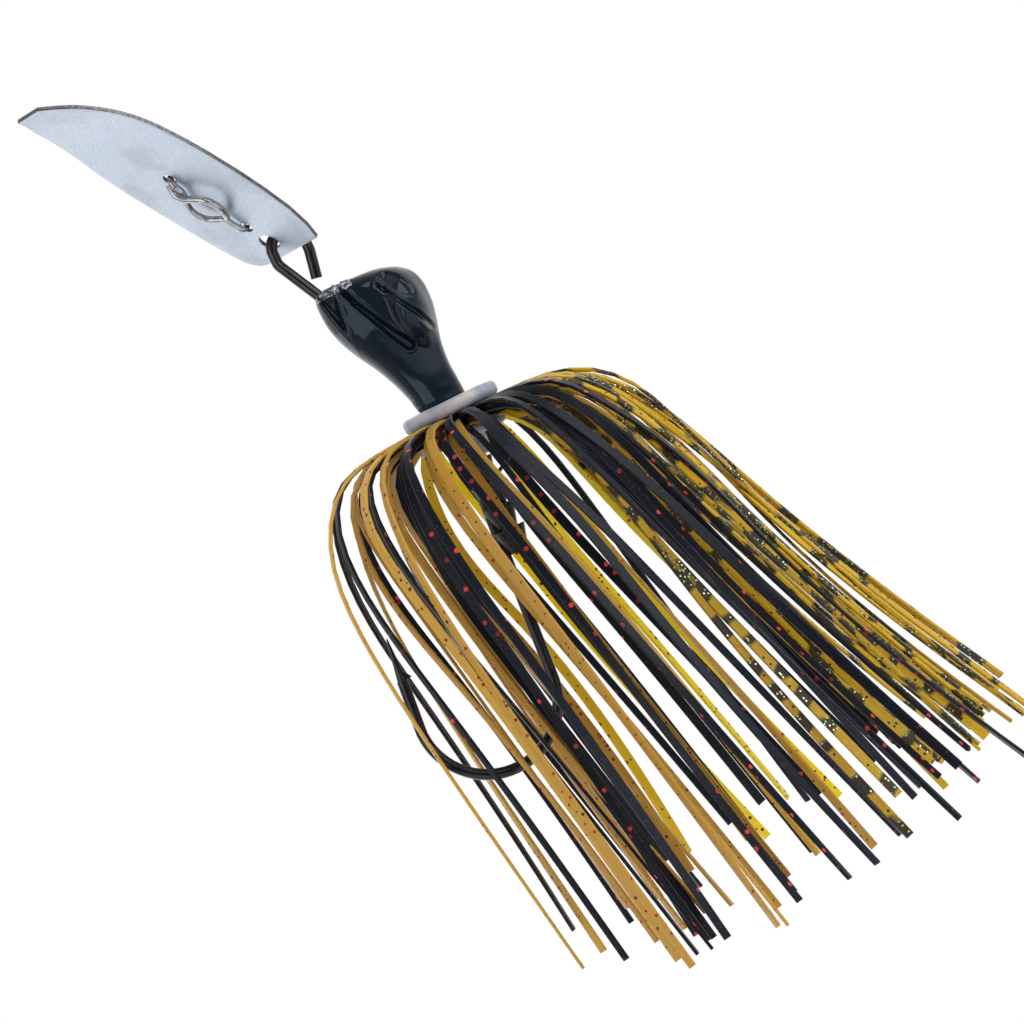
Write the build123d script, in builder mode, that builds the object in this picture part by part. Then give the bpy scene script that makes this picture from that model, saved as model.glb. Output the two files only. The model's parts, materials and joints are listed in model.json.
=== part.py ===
from build123d import *
import os
from math import cos, radians, sin, tan

# A bladed jig lure hanging from its line tie. Millimetres, +Z up along the fishing line.
# The origin is the centre of the line-tie eye, which the line is knotted to.
# X runs from the hook-point side to the belly side, and the hook's plane is near XZ.

# ---- Driving dimensions -------------------------------------------------------------------
# Directions below are given beside the hook's plane, which is their XZ plane. The whole lure
# is then turned by these two angles, so that its weight hangs straight under each joint.
HANG_ROLL = 5.27
HANG_TILT = 4.6

# Blade: a steel plate with a curled front, held by its tail hole
BLADE_THICK = 0.8
BLADE_FORWARD = Vector(-0.290, -0.380, 0.877)  # from the tail hole to the front tip
BLADE_ACROSS = Vector(0.580, -0.800, -0.155)
BLADE_TAIL = 10.7  # from the middle of the snap holes to the tail edge
BLADE_FLAT = 16.4  # from the middle of the snap holes to the start of the curl
CURL_RADIUS = 18.0
CURL_ANGLE = 27.0
TAIL_HALF_WIDTH = 6.4
BELLY_HALF_WIDTH = 9.3  # at the widest place
BELLY_AHEAD = 1.5  # of the middle of the snap holes
SHOULDER_HALF_WIDTH = 7.2  # where the curl starts
TIP_HALF_WIDTH = 2.7
TAIL_HOLE_BACK = 8.5  # tail hole behind the middle of the snap holes
TAIL_HOLE_RADIUS = 1.25
SNAP_HOLE_BACK = 5.3  # each snap hole from their middle
SNAP_HOLE_RADIUS = 0.62

# Line-tie snap: one bent wire whose eye lies over the blade's face
SNAP_WIRE = 0.8
SNAP_EYE_RADIUS = 2.05  # wire centre
SNAP_EYE_HEIGHT = 1.15  # wire centre over the blade's middle plane
SNAP_EYE_SIDE = 0.7
SNAP_EYE_AHEAD = 0.7
SNAP_UNDER = 1.1  # closing run under the blade, below its middle plane
SNAP_BEND = 0.5

# Head, hub and hook share one plane of symmetry and one leaning axis
SHANK_LEAN = 14.2  # the hub's axis from the vertical, in degrees
HOOK_WIRE = 1.3
EYE_RADIUS = 1.95  # wire centre of the hook's eye
EYE_ROUNDNESS = 0.99  # each of the eye's two corners is very nearly a quarter circle
EYE_SLACK = 0.3  # the eye's wire bears on the tail side of the blade's hole
EYE_CENTRE = (8.4, 24.2)  # from the hub's centre: towards the point side, then towards the nose
EYE_LEG_END = (7.1, 19.7)
EYE_LEG_DROP = 1.2  # below the eye's centre, where the end leg turns in
EYE_BACK_DROP = 1.3
EYE_LEG_BEND = 4.0
EYE_BACK_BEND = 1.5
KNEE_BEND = 8.0
SHANK_KNEE = (0.0, 2.6)  # where the eye's leg meets the shank, inside the head
SHANK_BEND_START = (2.7, -31.3)
BEND_RADIUS = 8.0
POINT_START = (18.1, -25.0)
POINT_LENGTH = 5.0
POINT_TIP_RADIUS = 0.08
POINT_ROOT_RADIUS = 0.62  # the ground point starts a little inside the wire
POINT_LAP = 0.5
BARB_LENGTH = 1.9
BARB_HEIGHT = 0.55
BARB_WIDTH = 0.5

# Head sections: distance from the hub's centre to the nose, centre, half height, half width
HEAD_SECTIONS = [
    (0.8, 0.45, 2.70, 2.70),
    (4.7, 1.10, 3.20, 3.10),
    (8.2, 1.65, 4.10, 3.80),
    (11.2, 2.25, 5.40, 4.60),
    (14.2, 2.50, 6.00, 5.00),
    (16.4, 2.90, 5.45, 4.60),
    (17.7, 3.70, 4.30, 3.50),
]
WING_CENTRE = (-0.4, 12.9)
WING_HALF_HEIGHT = 3.0
WING_HALF_LENGTH = 4.6
WING_HALF_SPREAD = 6.2
WING_TAPER = 22.0
GILL_CENTRES = [(3.4, 9.6), (2.2, 12.6)]
GILL_LENGTHS = [8.0, 4.0]
GILL_TILT = 66.0
GILL_WIDTH = 0.8
GILL_FLOOR = 3.4  # from the plane of symmetry
NECK_RADIUS = 1.7
NECK_LENGTH = 5.4  # from the hub's centre towards the tail

# Silicone hub: two flanges on a sleeve, with the clamp band and the strands between them
FLANGE_RADIUS = 5.7
FLANGE_FRONT = (0.75, -0.55)
SECOND_FLANGE_RADIUS = 5.2
SECOND_FLANGE = (-2.85, -3.75)
SLEEVE_RADIUS = 2.3
SLEEVE_END = -6.1
BAND_RADIUS = 3.3
RIM_ROUND = 0.35

# Trailer keeper: a row of barbed cones on the shank
KEEPER_START = -6.4
KEEPER_STEP = 2.8
KEEPER_STEPS = 4
KEEPER_ROOT_RADIUS = 1.15
KEEPER_BARB_RADIUS = 1.95
THORN_RADIUS = 0.35
THORN_TIP_RADIUS = 0.07
THORN_RAKE = 0.5  # rise towards the nose for each millimetre out
THORN_LENGTH = 2.6

# Skirt: flat strands in three layers, at even angles round the hub
STRAND_WIDTH = 1.0
STRAND_THICK = 0.40
STRAND_ROOT = 3.9
FIRST_ANGLE = 24.0  # the strands leave the hook point's side open
ANGLE_STEP = 6.0
STRAND_COUNT = 53
LAYER_HEIGHTS = [-0.92, -1.66, -2.40]
# Each layer's route: distance out from the hub's axis, and drop below the strand's root
LAYER_ROUTES = [
    [(14.5, 0.4), (22.5, 9.0), (25.5, 27.0), (27.0, 62.0)],
    [(11.0, 0.4), (17.5, 9.5), (19.5, 27.0), (20.5, 60.0)],
    [(8.3, 0.3), (12.5, 9.5), (14.0, 27.0), (15.0, 58.0)],
]
RUN_SHARE = 0.45  # of a run that the arc at its end may take up
TIP_RAGGED = [0.0, -2.5, 1.5, -1.0, 2.5, -3.5, 0.5]  # how far each next strand's tip differs
# Where each zone of the skirt ends, in degrees, and the colours that alternate in it
SKIRT_ZONES = [
    ("left", 54.0, ["black", "amber"]),
    ("front_left", 84.0, ["amber", "black"]),
    ("front", 120.0, ["black", "black", "amber"]),
    ("front_right", 156.0, ["barred", "black"]),
    ("right", 192.0, ["barred"]),
    ("back_right", 228.0, ["barred", "black"]),
    ("back", 270.0, ["amber", "black"]),
    ("back_left", 304.0, ["black", "amber"]),
    ("far_left", 340.0, ["amber", "black"]),
]

# ---- Planes -------------------------------------------------------------------------------
roll = radians(HANG_ROLL)
tilt = radians(HANG_TILT)
hung = Plane(
    origin=(0, 0, 0),
    x_dir=(cos(roll), sin(roll) * sin(tilt), -sin(roll) * cos(tilt)),
    z_dir=(sin(roll), -cos(roll) * sin(tilt), cos(roll) * cos(tilt)),
)
lean = radians(SHANK_LEAN)
nose_dir = hung.from_local_coords(Vector(sin(lean), 0, cos(lean)))
point_dir = hung.from_local_coords(Vector(-cos(lean), 0, sin(lean)))
side_dir = hung.y_dir
strand_dir = hung.z_dir * -1
blade_forward = hung.from_local_coords(BLADE_FORWARD).normalized()
blade_across = hung.from_local_coords(BLADE_ACROSS).normalized()

blade_face = blade_across.cross(blade_forward)
blade_origin = (
    blade_face * -SNAP_EYE_HEIGHT
    - blade_across * SNAP_EYE_SIDE
    - blade_forward * SNAP_EYE_AHEAD
)
# The blade's middle plane: x across, y to the front, z out of the face that the eye lies on
blade_plane = Plane(origin=blade_origin, x_dir=blade_across, z_dir=blade_face)
# The same place seen from the side: x to the front, y out of the face
blade_side = Plane(origin=blade_origin, x_dir=blade_plane.y_dir, z_dir=blade_plane.x_dir)

# The hook's eye runs through the tail hole, with its centre in the blade's middle plane
tail_hole = blade_plane.from_local_coords((0, -TAIL_HOLE_BACK, 0))
meeting_dir = blade_face.cross(side_dir).normalized()
eye_centre = tail_hole + meeting_dir * (EYE_RADIUS + EYE_SLACK)
hub_centre = eye_centre - point_dir * EYE_CENTRE[0] - nose_dir * EYE_CENTRE[1]

# The hub's plane: x towards the hook point, z towards the nose
hub_plane = Plane(origin=hub_centre, x_dir=point_dir, z_dir=nose_dir)
# The plane that the hook lies in: x towards the hook point, y towards the nose
hook_plane = Plane(origin=hub_centre, x_dir=point_dir, z_dir=side_dir)

os.makedirs("parts", exist_ok=True)


# ---- Blade --------------------------------------------------------------------------------
front_reach = BLADE_FLAT + CURL_RADIUS * sin(radians(CURL_ANGLE))
with BuildPart() as blade:
    with BuildSketch(blade_side):
        with BuildLine():
            flat = Line((-BLADE_TAIL, 0), (BLADE_FLAT, 0))
            curl = JernArc(flat @ 1, flat % 1, CURL_RADIUS, CURL_ANGLE)
            offset(amount=BLADE_THICK / 2, side=Side.BOTH)
        make_face()
    extrude(amount=BELLY_HALF_WIDTH, both=True)
    with BuildSketch(blade_plane.offset(-BELLY_HALF_WIDTH)):
        with BuildLine():
            side = Spline(
                (TAIL_HALF_WIDTH, -BLADE_TAIL),
                (BELLY_HALF_WIDTH, BELLY_AHEAD),
                (SHOULDER_HALF_WIDTH, BLADE_FLAT),
                (TIP_HALF_WIDTH, front_reach),
            )
            tip = Line(side @ 1, (-TIP_HALF_WIDTH, front_reach))
            mirror(side, about=Plane.YZ)
            tail = Line((-TAIL_HALF_WIDTH, -BLADE_TAIL), side @ 0)
        make_face()
    extrude(amount=2 * BELLY_HALF_WIDTH + CURL_RADIUS, mode=Mode.INTERSECT)
    with BuildSketch(blade_plane.offset(-BLADE_THICK)):
        with Locations((0, -TAIL_HOLE_BACK)):
            Circle(TAIL_HOLE_RADIUS)
        with Locations((0, SNAP_HOLE_BACK), (0, -SNAP_HOLE_BACK)):
            Circle(SNAP_HOLE_RADIUS)
    extrude(amount=2 * BLADE_THICK, mode=Mode.SUBTRACT)
blade.part.label = "blade"
export_step(blade.part, "parts/blade.step")

# ---- Line-tie snap ------------------------------------------------------------------------
eye_plane = blade_plane.offset(SNAP_EYE_HEIGHT)
leg_ahead = SNAP_EYE_AHEAD + SNAP_EYE_RADIUS
leg_behind = SNAP_EYE_AHEAD - SNAP_EYE_RADIUS
with BuildPart() as line_tie_snap:
    with BuildLine(blade_side):
        closing_run = FilletPolyline(
            (leg_behind, SNAP_EYE_HEIGHT),
            (-SNAP_HOLE_BACK, SNAP_EYE_HEIGHT),
            (-SNAP_HOLE_BACK, -SNAP_UNDER),
            (SNAP_HOLE_BACK, -SNAP_UNDER),
            (SNAP_HOLE_BACK, SNAP_EYE_HEIGHT),
            (leg_ahead, SNAP_EYE_HEIGHT),
            radius=SNAP_BEND,
        )
    with BuildSketch(closing_run ^ 0):
        Circle(SNAP_WIRE / 2)
    sweep(path=closing_run)
    with BuildLine(eye_plane):
        eye = CenterArc((SNAP_EYE_SIDE, SNAP_EYE_AHEAD), SNAP_EYE_RADIUS, 0, 360)
    with BuildSketch(eye ^ 0):
        Circle(SNAP_WIRE / 2)
    sweep(path=eye)
line_tie_snap.part.label = "line_tie_snap"
export_step(line_tie_snap.part, "parts/line_tie_snap.step")

# ---- Hook ---------------------------------------------------------------------------------
eye_x, eye_y = EYE_CENTRE
eye_top = eye_y + EYE_RADIUS
eye_bend = EYE_RADIUS * EYE_ROUNDNESS
bend_x = SHANK_BEND_START[0] + BEND_RADIUS
with BuildPart() as hook:
    with BuildLine(hook_plane) as hook_line:
        front = FilletPolyline(
            EYE_LEG_END,
            (eye_x - EYE_RADIUS, eye_y - EYE_LEG_DROP),
            (eye_x - EYE_RADIUS, eye_top),
            (eye_x + EYE_RADIUS, eye_top),
            (eye_x + EYE_RADIUS, eye_y - EYE_BACK_DROP),
            SHANK_KNEE,
            SHANK_BEND_START,
            radius=[EYE_LEG_BEND, eye_bend, eye_bend, EYE_BACK_BEND, KNEE_BEND],
        )
        bend = ThreePointArc(
            SHANK_BEND_START,
            (bend_x, SHANK_BEND_START[1] - BEND_RADIUS),
            (bend_x + BEND_RADIUS, SHANK_BEND_START[1]),
        )
        back = Line((bend_x + BEND_RADIUS, SHANK_BEND_START[1]), POINT_START)
    with BuildSketch(hook_line.line ^ 0):
        Circle(HOOK_WIRE / 2)
    sweep(path=hook_line.line)
    point_root = Plane(hook_line.line ^ 1)
    with BuildSketch(point_root.offset(-POINT_LAP)):
        Circle(POINT_ROOT_RADIUS)
    with BuildSketch(point_root.offset(POINT_LENGTH)):
        Circle(POINT_TIP_RADIUS)
    loft()
    with BuildSketch(hook_plane.offset(-BARB_WIDTH / 2)):
        with BuildLine():
            Polyline(
                POINT_START,
                (POINT_START[0] - BARB_HEIGHT - HOOK_WIRE / 2, POINT_START[1]),
                (POINT_START[0], POINT_START[1] + BARB_LENGTH),
                close=True,
            )
        make_face()
    extrude(amount=BARB_WIDTH)
hook.part.label = "hook"
export_step(hook.part, "parts/hook.step")

# ---- Head ---------------------------------------------------------------------------------
with BuildPart() as head:
    for height, centre, half_height, half_width in HEAD_SECTIONS:
        with BuildSketch(hub_plane.offset(height)):
            with Locations((centre, 0)):
                Ellipse(half_height, half_width)
    loft()
    with BuildSketch(hook_plane):
        with Locations(WING_CENTRE):
            Ellipse(WING_HALF_HEIGHT, WING_HALF_LENGTH)
    extrude(amount=WING_HALF_SPREAD, both=True, taper=WING_TAPER)
    for (gill_x, gill_y), gill_length in zip(GILL_CENTRES, GILL_LENGTHS):
        for side_sign in (1, -1):
            with BuildSketch(hook_plane.offset(side_sign * WING_HALF_SPREAD)):
                with Locations((gill_x, gill_y)):
                    SlotOverall(gill_length, GILL_WIDTH, rotation=GILL_TILT)
            extrude(amount=-side_sign * (WING_HALF_SPREAD - GILL_FLOOR), mode=Mode.SUBTRACT)
    with BuildSketch(hub_plane.offset(HEAD_SECTIONS[0][0])):
        Circle(NECK_RADIUS)
    extrude(amount=-HEAD_SECTIONS[0][0] - NECK_LENGTH)
    add(hook.part, mode=Mode.SUBTRACT)
head.part.label = "head"
export_step(head.part, "parts/head.step")

# ---- Silicone hub and clamp band ----------------------------------------------------------
with BuildPart() as skirt_hub:
    for top, bottom, radius in (
        (FLANGE_FRONT[0], FLANGE_FRONT[1], FLANGE_RADIUS),
        (SECOND_FLANGE[0], SECOND_FLANGE[1], SECOND_FLANGE_RADIUS),
        (FLANGE_FRONT[0], SLEEVE_END, SLEEVE_RADIUS),
    ):
        with BuildSketch(hub_plane.offset(bottom)):
            Circle(radius)
        extrude(amount=top - bottom)
    with BuildSketch(hub_plane.offset(FLANGE_FRONT[0])):
        Circle(NECK_RADIUS)
    extrude(amount=SLEEVE_END - FLANGE_FRONT[0], mode=Mode.SUBTRACT)
    flange_rims = skirt_hub.edges().filter_by(GeomType.CIRCLE).filter_by(
        lambda edge: edge.radius > BAND_RADIUS
    )
    fillet(flange_rims, radius=RIM_ROUND)
skirt_hub.part.label = "skirt_hub"
export_step(skirt_hub.part, "parts/skirt_hub.step")

with BuildPart() as clamp_band:
    with BuildSketch(hub_plane.offset(SECOND_FLANGE[0])):
        Circle(BAND_RADIUS)
        Circle(SLEEVE_RADIUS, mode=Mode.SUBTRACT)
    extrude(amount=FLANGE_FRONT[1] - SECOND_FLANGE[0])
clamp_band.part.label = "clamp_band"
export_step(clamp_band.part, "parts/clamp_band.step")

# ---- Trailer keeper -----------------------------------------------------------------------
with BuildPart() as trailer_keeper:
    for step in range(KEEPER_STEPS):
        step_top = KEEPER_START - step * KEEPER_STEP
        with BuildSketch(hub_plane.offset(step_top)):
            Circle(KEEPER_BARB_RADIUS)
        with BuildSketch(hub_plane.offset(step_top - KEEPER_STEP)):
            Circle(KEEPER_ROOT_RADIUS)
        loft()
    thorn_foot = Plane(
        origin=hub_plane.from_local_coords((-KEEPER_ROOT_RADIUS / 2, 0, KEEPER_START - KEEPER_STEP)),
        z_dir=nose_dir * THORN_RAKE - point_dir,
    )
    with BuildSketch(thorn_foot):
        Circle(THORN_RADIUS)
    with BuildSketch(thorn_foot.offset(THORN_LENGTH + KEEPER_ROOT_RADIUS)):
        Circle(THORN_TIP_RADIUS)
    loft()
    add(hook.part, mode=Mode.SUBTRACT)
trailer_keeper.part.label = "trailer_keeper"
export_step(trailer_keeper.part, "parts/trailer_keeper.step")


# ---- Skirt --------------------------------------------------------------------------------
def strand_route(index):
    """The plane that a strand hangs in, and its route there: a root, then the layer's corners."""
    angle = radians(FIRST_ANGLE + index * ANGLE_STEP)
    layer = index % len(LAYER_HEIGHTS)
    outward = (hub_plane.x_dir * cos(angle) + hub_plane.y_dir * sin(angle)).normalized()
    root = hub_centre + nose_dir * LAYER_HEIGHTS[layer] + outward * STRAND_ROOT
    hang_plane = Plane(origin=root, x_dir=outward, z_dir=outward.cross(strand_dir))
    ragged = TIP_RAGGED[index % len(TIP_RAGGED)]
    corners = [Vector(0, 0, 0)]
    for out, drop in LAYER_ROUTES[layer]:
        point = root + outward * (out - STRAND_ROOT) + strand_dir * drop
        corners.append(hang_plane.to_local_coords(point))
    corners[-1] = corners[-1] + (corners[-1] - corners[-2]).normalized() * ragged
    return hang_plane, corners


def easy_radii(corners):
    """For each inner corner, the largest arc that its two runs hold."""
    radii = []
    for before, corner, after in zip(corners, corners[1:], corners[2:]):
        run_in = corner - before
        run_out = after - corner
        turn = radians(run_in.get_angle(run_out))
        radii.append(RUN_SHARE * min(run_in.length, run_out.length) / tan(turn / 2))
    return radii


def strand_group(indices):
    """Flat closed strands, each a thin band with square ends."""
    with BuildPart() as group:
        for index in indices:
            hang_plane, corners = strand_route(index)
            with BuildSketch(hang_plane):
                with BuildLine():
                    FilletPolyline(*corners, radius=easy_radii(corners))
                    offset(amount=STRAND_THICK / 2, side=Side.BOTH)
                make_face()
            extrude(amount=STRAND_WIDTH / 2, both=True)
    return group.part


zone_start = 0.0
for zone, zone_end, colours in SKIRT_ZONES:
    angles = [FIRST_ANGLE + index * ANGLE_STEP for index in range(STRAND_COUNT)]
    in_zone = [i for i, angle in enumerate(angles) if zone_start <= angle < zone_end]
    for colour in dict.fromkeys(colours):
        picked = [i for i in in_zone if colours[i % len(colours)] == colour]
        strands = strand_group(picked)
        strands.label = f"skirt_{colour}_{zone}"
        export_step(strands, f"parts/{strands.label}.step")
    zone_start = zone_end
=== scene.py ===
import bpy
import bmesh
import json
import random
from math import cos, degrees, pi, radians, sin
from mathutils import Matrix, Vector, noise


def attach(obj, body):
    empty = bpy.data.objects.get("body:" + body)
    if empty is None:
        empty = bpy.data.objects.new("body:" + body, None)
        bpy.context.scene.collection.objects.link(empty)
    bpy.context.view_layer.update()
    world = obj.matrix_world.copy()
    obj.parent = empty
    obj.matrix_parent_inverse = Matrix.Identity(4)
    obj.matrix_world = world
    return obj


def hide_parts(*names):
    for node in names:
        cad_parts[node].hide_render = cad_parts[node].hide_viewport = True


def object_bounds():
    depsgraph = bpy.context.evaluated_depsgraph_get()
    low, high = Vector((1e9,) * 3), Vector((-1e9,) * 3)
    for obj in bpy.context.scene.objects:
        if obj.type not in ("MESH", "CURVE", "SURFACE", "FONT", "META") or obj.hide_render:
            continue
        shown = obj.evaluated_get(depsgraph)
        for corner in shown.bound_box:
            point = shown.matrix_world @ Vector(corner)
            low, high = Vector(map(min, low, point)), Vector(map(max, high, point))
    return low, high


# A bladed jig lure, hanging from its line tie. Metres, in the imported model's frame.
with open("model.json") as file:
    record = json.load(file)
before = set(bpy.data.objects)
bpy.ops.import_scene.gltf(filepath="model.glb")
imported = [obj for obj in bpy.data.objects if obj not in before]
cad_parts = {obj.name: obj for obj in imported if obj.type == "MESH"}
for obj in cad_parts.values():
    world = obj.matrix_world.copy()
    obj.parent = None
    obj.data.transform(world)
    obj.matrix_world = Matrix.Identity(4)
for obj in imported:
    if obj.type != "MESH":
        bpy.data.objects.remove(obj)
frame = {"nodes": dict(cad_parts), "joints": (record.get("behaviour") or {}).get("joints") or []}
cad_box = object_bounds()
joints = {joint["name"]: joint for joint in frame["joints"]}
random.seed(7)
MM = 0.001

# ---- Places, worked out from the imported joints and the numbers below ------------------------
EYE_FROM_HUB = (8.4, 24.2)  # hook-eye centre from the hub's centre: point side, nose (mm)
SHANK_LEAN = radians(14.2)
UP_HINT = Vector((0.0919, -0.0799, 0.9926))  # nearly opposite to the way the strands hang
ACROSS_HINT = Vector((0.580, -0.800, -0.155))  # the blade's width: right, away from the viewer, up

side_dir = Vector(joints["blade_swing"]["axis"]).normalized()  # away from the viewer's side
up_dir = (UP_HINT - side_dir * UP_HINT.dot(side_dir)).normalized()
right_dir = side_dir.cross(up_dir)
nose_dir = up_dir * cos(SHANK_LEAN) + right_dir * sin(SHANK_LEAN)
point_dir = up_dir * sin(SHANK_LEAN) - right_dir * cos(SHANK_LEAN)
strand_dir = -up_dir
eye_centre = Vector(joints["blade_swing"]["pos_m"])
hub_centre = eye_centre - (point_dir * EYE_FROM_HUB[0] + nose_dir * EYE_FROM_HUB[1]) * MM
blade_forward = Vector(joints["snap_rock"]["axis"]).normalized()
blade_middle = Vector(joints["snap_rock"]["pos_m"])
blade_across = right_dir * ACROSS_HINT.x + side_dir * ACROSS_HINT.y + up_dir * ACROSS_HINT.z
blade_face = blade_across.cross(blade_forward).normalized()
blade_across = blade_forward.cross(blade_face)


def hub_point(x, y, z=0.0):
    """A point in mm from the hub's centre: to the hook point, to the nose, away from the viewer."""
    return hub_centre + (point_dir * x + nose_dir * y + side_dir * z) * MM


def blade_point(x, y, z):
    """A point in mm from the middle of the snap holes: across, forward, out of the eye's face."""
    return blade_middle + (blade_across * x + blade_forward * y + blade_face * z) * MM


# ---- Materials ------------------------------------------------------------------------------
class Shader:
    """A material whose nodes are added and linked one at a time."""

    def __init__(self, name, **sockets):
        self.material = bpy.data.materials.new(name)
        self.material.use_nodes = True
        self.tree = self.material.node_tree
        self.tree.nodes.clear()
        self.output = self.tree.nodes.new("ShaderNodeOutputMaterial")
        self.surface = self.tree.nodes.new("ShaderNodeBsdfPrincipled")
        self.tree.links.new(self.surface.outputs[0], self.output.inputs["Surface"])
        for socket, value in sockets.items():
            self.surface.inputs[socket.replace("_", " ")].default_value = value

    def node(self, kind, inputs=(), **settings):
        """Adds a node of that kind. An input is a value, or an output to link from."""
        made = self.tree.nodes.new("ShaderNode" + kind)
        for setting, value in settings.items():
            setattr(made, setting, value)
        for socket, value in dict(inputs).items():
            if isinstance(value, bpy.types.NodeSocket):
                self.tree.links.new(value, made.inputs[socket])
            else:
                made.inputs[socket].default_value = value
        return made

    def math(self, operation, first, second=0.0, third=0.0):
        return self.node("Math", {0: first, 1: second, 2: third}, operation=operation).outputs[0]

    def ramp(self, factor, *stops):
        """A colour ramp with a stop at each (place, colour)."""
        made = self.node("ValToRGB", {0: factor})
        ramp = made.color_ramp
        while len(ramp.elements) < len(stops):
            ramp.elements.new(0.5)
        for element, (place, value) in zip(ramp.elements, stops):
            element.position = place
            element.color = value if len(value) == 4 else (*value, 1.0)
        return made.outputs[0]

    def mix(self, factor, first, second, blend_type="MIX"):
        """A colour mix of two values or outputs."""
        made = self.node("Mix", data_type="RGBA", blend_type=blend_type)
        for socket, value in ((0, factor), (6, first), (7, second)):
            if isinstance(value, bpy.types.NodeSocket):
                self.tree.links.new(value, made.inputs[socket])
            else:
                made.inputs[socket].default_value = value
        return made.outputs[2]

    def link(self, output, socket):
        self.tree.links.new(output, self.surface.inputs[socket])

    def bump(self, height, strength, distance):
        made = self.node("Bump", {"Height": height, "Strength": strength, "Distance": distance})
        self.link(made.outputs[0], "Normal")


def grey(value):
    return (value, value, value)


def blade_steel():
    """Satin stainless sheet: a fine pebbled grain, faint cloudy stains, and cut edges painted dark as
    shade.
    """
    steel = Shader("satin_steel", Metallic=0.85, Roughness=0.42)
    place = steel.node("TexCoord").outputs["Object"]
    grain = steel.node("TexNoise", {"Vector": place, "Scale": 5200, "Detail": 3}).outputs[0]
    cloud = steel.node("TexNoise", {"Vector": place, "Scale": 160, "Detail": 4}).outputs[0]
    tone = steel.ramp(grain, (0.3, (0.46, 0.53, 0.62)), (0.7, (0.64, 0.70, 0.80)))
    stain = steel.ramp(cloud, (0.36, grey(0.78)), (0.48, grey(0.95)), (0.62, grey(1.03)))
    steel.link(steel.mix(1.0, tone, stain, "MULTIPLY"), "Base Color")
    rough = steel.ramp(cloud, (0.3, grey(0.36)), (0.7, grey(0.5)))
    steel.link(rough, "Roughness")
    steel.bump(grain, 0.25, 0.00004)
    # The edge material is painted shade: near-black steel standing in for the shadowed,
    # dark-reflecting edges.
    edge_shade = Shader("painted_shade_edge", Metallic=0.9, Roughness=0.35)
    place = edge_shade.node("TexCoord").outputs["Object"]
    grain = edge_shade.node("TexNoise", {"Vector": place, "Scale": 3000, "Detail": 2}).outputs[0]
    tone = edge_shade.ramp(grain, (0.3, (0.07, 0.07, 0.08)), (0.7, (0.2, 0.2, 0.22)))
    edge_shade.link(tone, "Base Color")
    return steel.material, edge_shade.material


def bright_wire():
    """Spring wire drawn bright, with faint die marks."""
    wire = Shader("bright_wire", Metallic=1.0, Roughness=0.14)
    place = wire.node("TexCoord").outputs["Object"]
    marks = wire.node("TexNoise", {"Vector": place, "Scale": 900, "Detail": 2}).outputs[0]
    wire.link(wire.ramp(marks, (0.3, (0.34, 0.34, 0.36)), (0.7, (0.52, 0.52, 0.55))), "Base Color")
    wire.link(wire.ramp(marks, (0.3, grey(0.08)), (0.7, grey(0.2))), "Roughness")
    return wire.material


def black_nickel():
    """Black nickel plate over hook wire, a little browner and rougher in patches."""
    nickel = Shader("black_nickel", Metallic=0.75, Roughness=0.22)
    place = nickel.node("TexCoord").outputs["Object"]
    patch = nickel.node("TexNoise", {"Vector": place, "Scale": 420, "Detail": 5}).outputs[0]
    tone = nickel.ramp(patch, (0.35, (0.008, 0.008, 0.011)), (0.7, (0.036, 0.034, 0.037)))
    nickel.link(tone, "Base Color")
    nickel.link(nickel.ramp(patch, (0.3, grey(0.1)), (0.75, grey(0.26))), "Roughness")
    nickel.surface.inputs["Coat Weight"].default_value = 0.4
    nickel.surface.inputs["Coat Roughness"].default_value = 0.08
    return nickel.material


def head_paint():
    """Black enamel, deep and glossy. The attribute bare_lead is 1 where it is chipped off."""
    paint = Shader("black_enamel", Roughness=0.12, Specular_IOR_Level=0.38)
    paint.surface.inputs["Specular Tint"].default_value = (0.72, 0.88, 1.0, 1.0)
    place = paint.node("TexCoord").outputs["Object"]
    bare = paint.node("Attribute", attribute_name="bare_lead").outputs["Fac"]
    crinkle = paint.node("TexNoise", {"Vector": place, "Scale": 2200, "Detail": 6}).outputs[0]
    ragged = paint.math("ADD", bare, paint.math("MULTIPLY_ADD", crinkle, 0.9, -0.45))
    chipped = paint.ramp(ragged, (0.46, grey(0.0)), (0.54, grey(1.0)))
    cloud = paint.node("TexNoise", {"Vector": place, "Scale": 220, "Detail": 3}).outputs[0]
    enamel = paint.ramp(cloud, (0.3, (0.003, 0.006, 0.011)), (0.7, (0.006, 0.011, 0.020)))
    lead = paint.ramp(crinkle, (0.38, (0.05, 0.05, 0.07)), (0.6, (0.72, 0.72, 0.78)))
    paint.link(paint.mix(chipped, enamel, lead), "Base Color")
    paint.link(paint.ramp(chipped, (0, grey(0.0)), (1, grey(0.9))), "Metallic")
    paint.link(paint.ramp(chipped, (0, grey(0.1)), (1, grey(0.32))), "Roughness")
    height = paint.math("MULTIPLY", crinkle, chipped)
    paint.bump(height, 0.9, 0.00035)
    return paint.material


def hub_silicone():
    """Milky clear silicone, slightly uneven, that lets light through."""
    milk = Shader("milky_silicone", Roughness=0.32, IOR=1.41)
    milk.surface.inputs["Transmission Weight"].default_value = 0.35
    milk.surface.inputs["Subsurface Weight"].default_value = 0.35
    milk.surface.inputs["Subsurface Radius"].default_value = (0.002, 0.002, 0.002)
    milk.surface.inputs["Subsurface Scale"].default_value = 1.0
    place = milk.node("TexCoord").outputs["Object"]
    cloud = milk.node("TexNoise", {"Vector": place, "Scale": 190, "Detail": 3}).outputs[0]
    tone = milk.ramp(
        cloud,
        (0.36, (0.22, 0.30, 0.45)),
        (0.5, (0.50, 0.55, 0.66)),
        (0.62, (0.84, 0.76, 0.75)),
    )
    milk.link(tone, "Base Color")
    milk.bump(cloud, 0.3, 0.0001)
    return milk.material


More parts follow.
